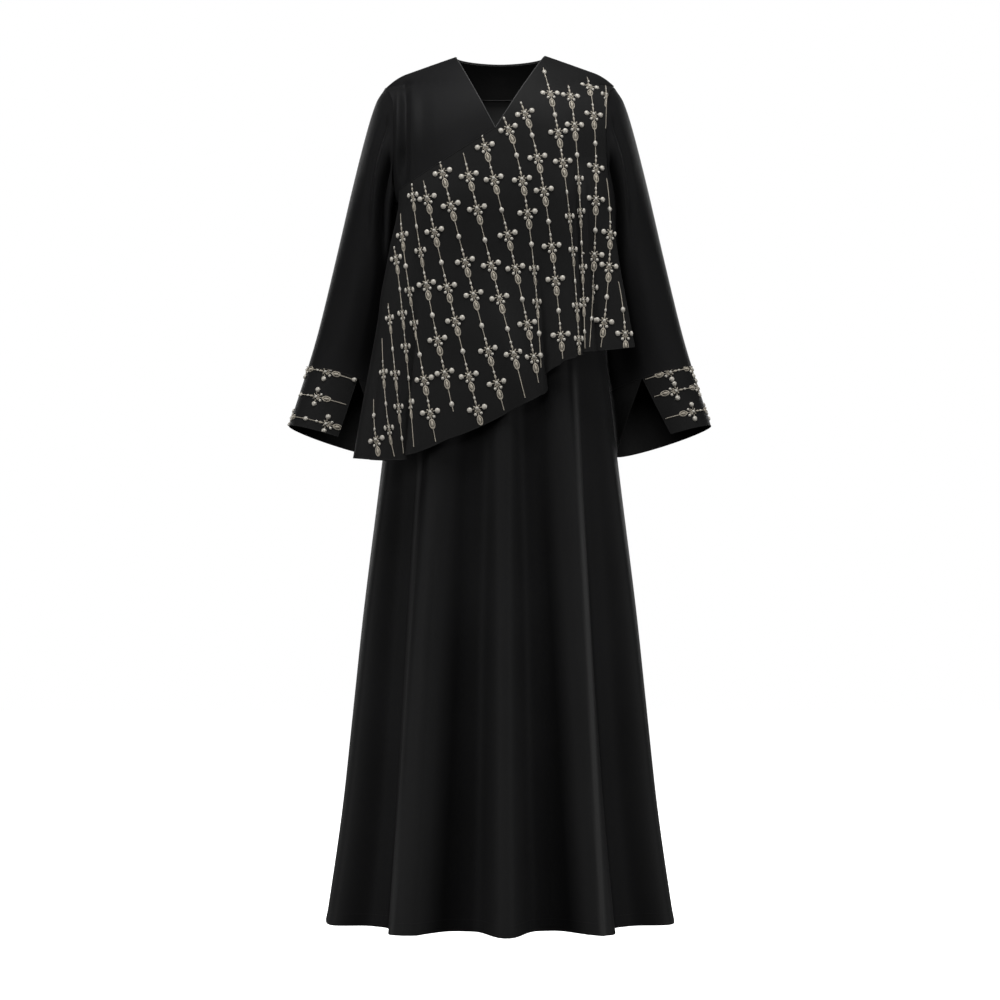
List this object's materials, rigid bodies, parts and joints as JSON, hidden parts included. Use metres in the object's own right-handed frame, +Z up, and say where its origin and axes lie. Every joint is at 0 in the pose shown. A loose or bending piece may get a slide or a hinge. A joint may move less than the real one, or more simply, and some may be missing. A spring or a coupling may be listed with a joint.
{
  "type": "abaya",
  "caption": "Ankle-length black pull-on abaya with a V neck, wide slit-cuff sleeves and a slanted overlay with beaded embroidery, in its open worn shape",
  "frame": {"origin": "midway between the two points where the shoulder seams meet the neck, where the wearer's shoulders hold it", "axes": "+Z up, the front faces -Y, +X to the wearer's left"},
  "size_m": [0.6864, 0.3891, 1.3955],
  "materials": {
    "crepe": "matte black crepe with a soft sheen",
    "overlay_cloth": "matte black crepe under embroidery",
    "facing_cloth": "dull black facing cloth",
    "embroidery": "champagne thread and pearl beads"
  },
  "bodies": {
    "root": {"front_panel": "crepe", "back_panel": "crepe", "overlay_panel": "overlay_cloth", "sleeve_right": "crepe", "sleeve_left": "crepe", "cuff_right": "overlay_cloth", "cuff_left": "overlay_cloth", "back_neck_facing": "facing_cloth"}
  },
  "joints": []
}
